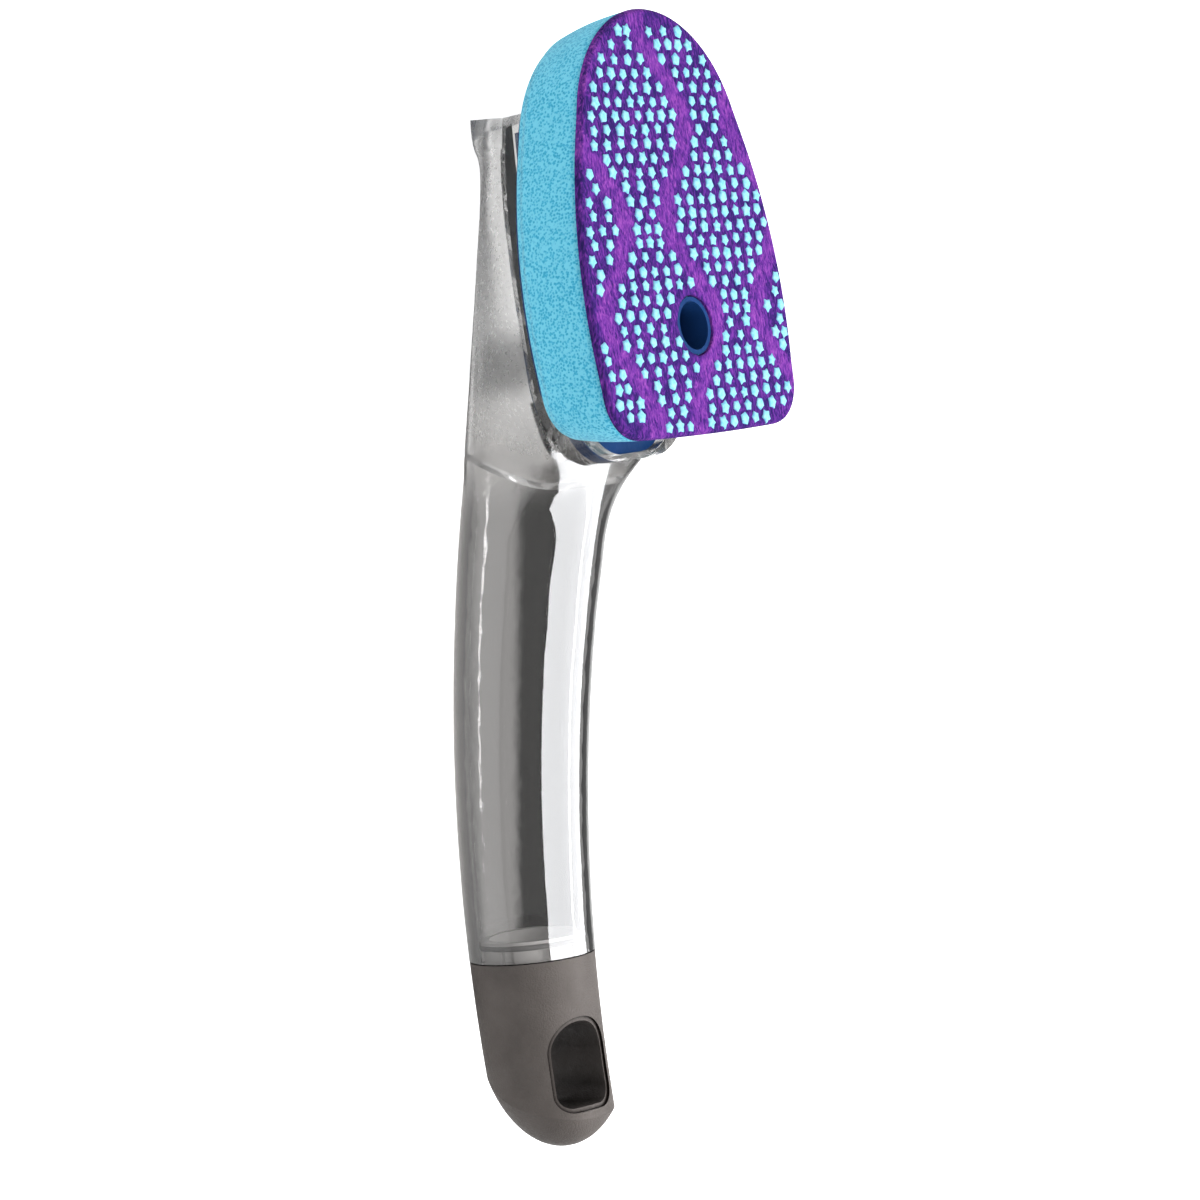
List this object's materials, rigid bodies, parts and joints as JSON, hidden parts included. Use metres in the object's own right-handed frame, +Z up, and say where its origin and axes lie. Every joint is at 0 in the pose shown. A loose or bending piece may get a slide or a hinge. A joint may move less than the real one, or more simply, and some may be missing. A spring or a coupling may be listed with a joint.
{
  "type": "dish wand",
  "caption": "Soap-dispensing dish wand: clear curved reservoir handle, pull-off grey cap with a hang slot, thumb-button valve and a slide-on foam scrub refill.",
  "frame": {"origin": "under the middle of the wand's box, on the surface that it lies on, back down", "axes": "+X along the wand towards its head, +Z up, the way the scrub face looks"},
  "size_m": [0.251, 0.0746, 0.0618],
  "materials": {
    "clear_smoke": "polished clear moulded plastic with a light smoke tint",
    "pale_plastic": "satin natural plastic",
    "cap_grey": "matte warm-grey moulded plastic",
    "seal": "moulded elastomer",
    "spring_steel": "drawn wire",
    "navy": "satin navy plastic",
    "foam": "open-cell foam",
    "scrub": "non-woven scrub fibres with raised pale-blue dots"
  },
  "bodies": {
    "wand": {"handle_shell": "clear_smoke", "head_tray": "clear_smoke", "refill_gasket": "seal", "valve_body": "clear_smoke", "soap_duct": "clear_smoke", "duct_seal": "seal", "stem_seal": "seal", "button_bezel": "clear_smoke"},
    "cap": {"end_cap": "cap_grey", "cap_plug": "clear_smoke", "cap_seal": "seal"},
    "refill": {"refill_base": "navy", "foam_block": "foam", "scrub_pad": "scrub"},
    "button": {"soap_button": "cap_grey", "valve_stem": "pale_plastic", "outlet_plug": "seal", "return_spring": "spring_steel"}
  },
  "joints": [
    {"name": "cap_pull", "type": "slide", "parent": "wand", "child": "cap", "axis": [-0.9809, 0, 0.1947], "range_m": [0, 0.04]},
    {"name": "refill_slide", "type": "slide", "parent": "wand", "child": "refill", "axis": [0.9636, 0, -0.2672], "range_m": [0, 0.082]},
    {"name": "button_press", "type": "slide", "parent": "wand", "child": "button", "axis": [0.2672, 0, 0.9636], "range_m": [0, 0.0025], "stiffness_N_per_m": 600, "springref_m": -0.003, "deforming": ["return_spring"]}
  ]
}
